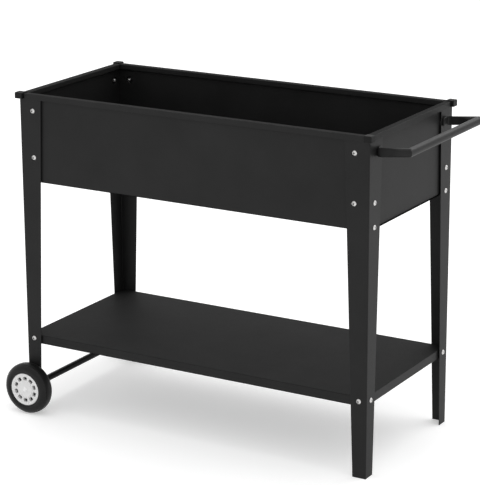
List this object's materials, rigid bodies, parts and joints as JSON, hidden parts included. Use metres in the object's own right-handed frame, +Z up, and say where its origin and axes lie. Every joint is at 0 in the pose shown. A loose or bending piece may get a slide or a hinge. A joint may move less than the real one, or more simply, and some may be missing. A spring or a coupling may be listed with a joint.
{
  "type": "rolling planter",
  "caption": "Raised sheet-metal planter tray on folded legs, with a lower shelf, wheels at one end and a pull handle at the other.",
  "frame": {"origin": "on the floor, under the middle of the whole object's box", "axes": "+X along the length towards the handle, -Y towards the front, +Z up"},
  "size_m": [1.0724, 0.5146, 0.8],
  "materials": {
    "black_coat": "satin black powder coat with a fine texture",
    "handle_coat": "semi-gloss black powder coat on tube",
    "black_plastic": "moulded black plastic, matte",
    "tyre_rubber": "smooth solid tyre, matte black",
    "grey_plastic": "moulded light grey plastic, semi-gloss",
    "zinc_steel": "bright zinc-plated steel"
  },
  "bodies": {
    "frame": {"front_panel": "black_coat", "back_panel": "black_coat", "left_end_panel": "black_coat", "right_end_panel": "black_coat", "tray_floor": "black_coat", "left_floor_stiffener": "black_coat", "right_floor_stiffener": "black_coat", "front_left_leg": "black_coat", "front_right_leg": "black_coat", "back_left_leg": "black_coat", "back_right_leg": "black_coat", "front_left_cap": "black_plastic", "front_right_cap": "black_plastic", "back_left_cap": "black_plastic", "back_right_cap": "black_plastic", "shelf": "black_coat", "front_shelf_lip": "black_coat", "back_shelf_lip": "black_coat", "left_shelf_lip": "black_coat", "right_shelf_lip": "black_coat", "shelf_stiffener": "black_coat", "handle": "handle_coat", "axle": "black_coat", "axle_spacers": "black_plastic", "axle_washers": "zinc_steel", "axle_clips": "zinc_steel", "tray_side_bolts": "zinc_steel", "tray_side_nuts": "zinc_steel", "tray_end_bolts": "zinc_steel", "tray_end_nuts": "zinc_steel", "shelf_bolts": "zinc_steel", "shelf_nuts": "zinc_steel", "handle_bolts": "zinc_steel"},
    "front_wheel": {"front_tyre": "tyre_rubber", "front_hub": "black_plastic", "front_hub_cover": "grey_plastic"},
    "back_wheel": {"back_tyre": "tyre_rubber", "back_hub": "black_plastic", "back_hub_cover": "grey_plastic"}
  },
  "joints": [
    {"name": "front_wheel_spin", "type": "hinge", "parent": "frame", "child": "front_wheel", "pos_m": [-0.47275, -0.2383, 0.0635], "axis": [0, 1, 0], "continuous": true},
    {"name": "back_wheel_spin", "type": "hinge", "parent": "frame", "child": "back_wheel", "pos_m": [-0.47275, 0.2383, 0.0635], "axis": [0, 1, 0], "continuous": true}
  ]
}
